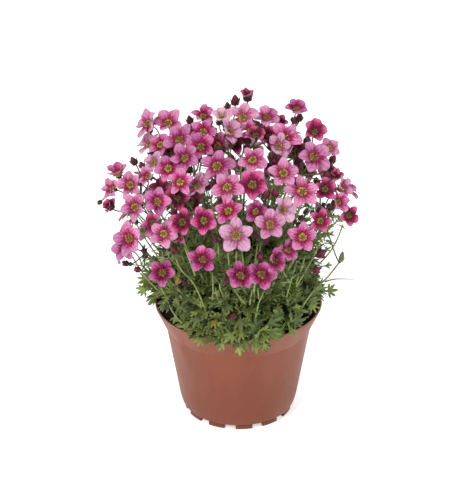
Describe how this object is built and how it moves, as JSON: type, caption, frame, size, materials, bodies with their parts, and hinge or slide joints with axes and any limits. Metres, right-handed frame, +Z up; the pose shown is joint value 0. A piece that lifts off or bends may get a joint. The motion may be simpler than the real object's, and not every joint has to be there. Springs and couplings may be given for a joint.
{
  "type": "potted saxifrage",
  "caption": "Mossy saxifrage in a round terracotta-coloured plastic nursery pot: a low cushion of lobed leaves under a dome of pink five-petalled flowers on thin stems.",
  "frame": {"origin": "middle of the flat pad under the pot, on the surface that the pot stands on", "axes": "+Z up along the pot's axis, -Y towards the side that the picture shows, +X to the right of it"},
  "size_m": [0.1794, 0.1778, 0.231],
  "materials": {
    "pot_plastic": "satin moulded terracotta-coloured polypropylene",
    "soil": "dark crumbly peat compost",
    "leaf_green": "fresh green leaves and stems, slightly hairy",
    "petal_pink": "soft matt petals on green to red stalks"
  },
  "bodies": {
    "root": {"pot": "pot_plastic", "soil": "soil", "leafy_plant": "leaf_green", "flower_head_01": "petal_pink", "flower_head_02": "petal_pink", "flower_head_03": "petal_pink", "flower_head_04": "petal_pink", "flower_head_05": "petal_pink", "flower_head_06": "petal_pink", "flower_head_07": "petal_pink", "flower_head_08": "petal_pink", "flower_head_09": "petal_pink", "flower_head_10": "petal_pink", "flower_head_11": "petal_pink", "flower_head_12": "petal_pink", "flower_head_13": "petal_pink", "flower_head_14": "petal_pink", "flower_head_15": "petal_pink", "flower_head_16": "petal_pink", "flower_head_17": "petal_pink", "flower_head_18": "petal_pink", "flower_head_19": "petal_pink", "flower_head_20": "petal_pink", "flower_head_21": "petal_pink", "flower_head_22": "petal_pink", "flower_head_23": "petal_pink", "flower_head_24": "petal_pink", "flower_head_25": "petal_pink", "flower_head_26": "petal_pink", "flower_head_27": "petal_pink", "flower_head_28": "petal_pink", "flower_head_29": "petal_pink", "flower_head_30": "petal_pink", "flower_head_31": "petal_pink", "flower_head_32": "petal_pink", "flower_head_33": "petal_pink", "flower_head_34": "petal_pink", "flower_head_35": "petal_pink", "flower_head_36": "petal_pink", "flower_head_37": "petal_pink", "flower_head_38": "petal_pink", "flower_head_39": "petal_pink", "flower_head_40": "petal_pink", "flower_head_41": "petal_pink", "flower_head_42": "petal_pink", "flower_head_43": "petal_pink", "flower_head_44": "petal_pink", "flower_head_45": "petal_pink", "flower_head_46": "petal_pink", "flower_head_47": "petal_pink", "flower_head_48": "petal_pink", "flower_head_49": "petal_pink"}
  },
  "joints": []
}
